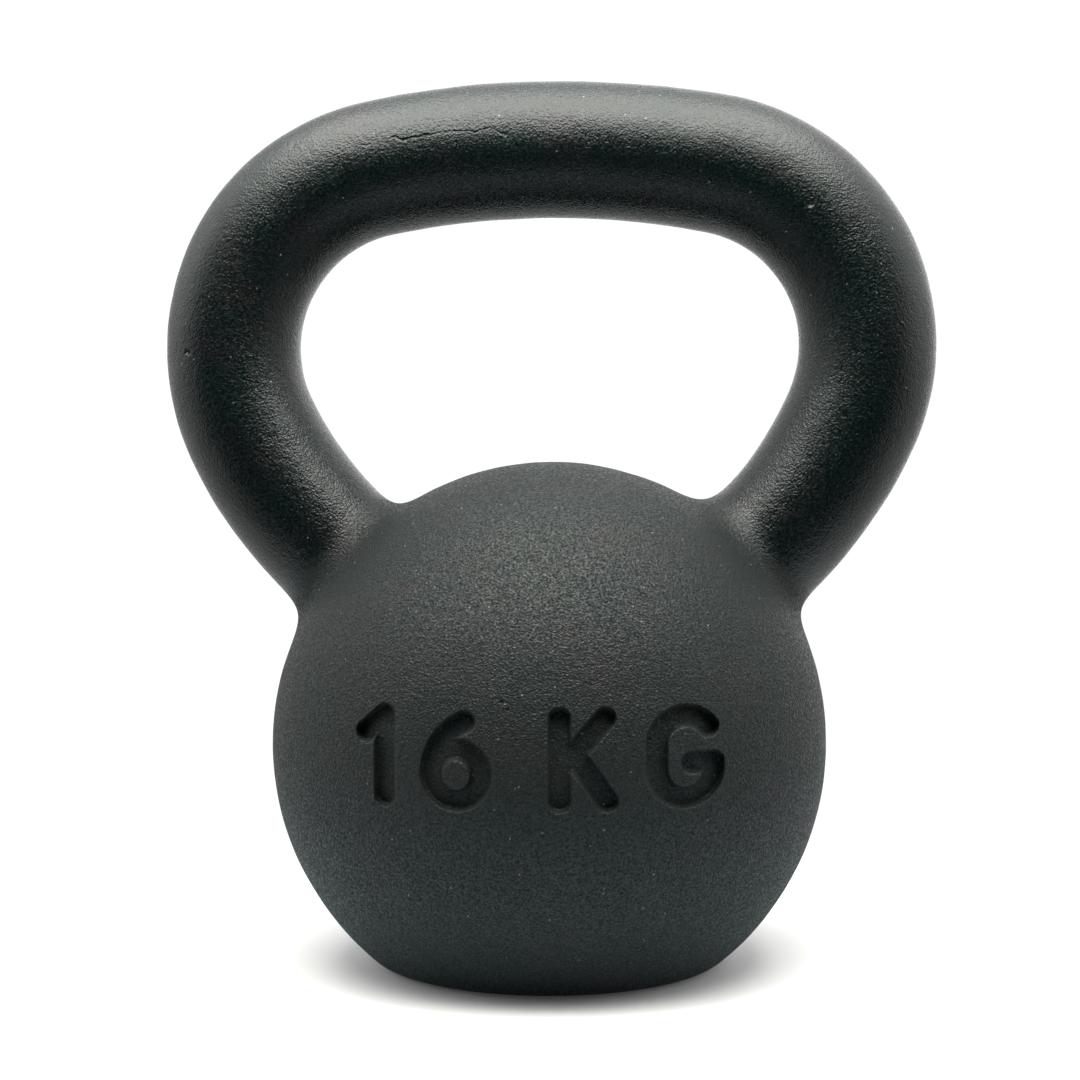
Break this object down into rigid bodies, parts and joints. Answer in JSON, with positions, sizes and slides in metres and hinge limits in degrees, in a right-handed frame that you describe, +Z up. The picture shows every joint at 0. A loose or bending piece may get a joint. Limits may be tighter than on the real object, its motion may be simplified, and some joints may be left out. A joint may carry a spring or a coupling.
{
  "type": "kettlebell",
  "caption": "Round cast-iron kettlebell: a ball with a flat foot, a bent round bar handle round a hand window, and a recessed weight mark.",
  "frame": {"origin": "centre of the flat round foot, on the surface that the kettlebell stands on", "axes": "+Z up, +X to the right along the handle, +Y to the back; the weight mark faces -Y"},
  "size_m": [0.2118, 0.1524, 0.2427],
  "materials": {
    "coated_iron": "black powder coat over a sand-cast surface, with a fine orange-peel grain and a soft sheen"
  },
  "bodies": {
    "root": {"base": "coated_iron", "bell": "coated_iron", "left_horn": "coated_iron", "right_horn": "coated_iron", "left_corner": "coated_iron", "right_corner": "coated_iron", "grip": "coated_iron"}
  },
  "joints": []
}
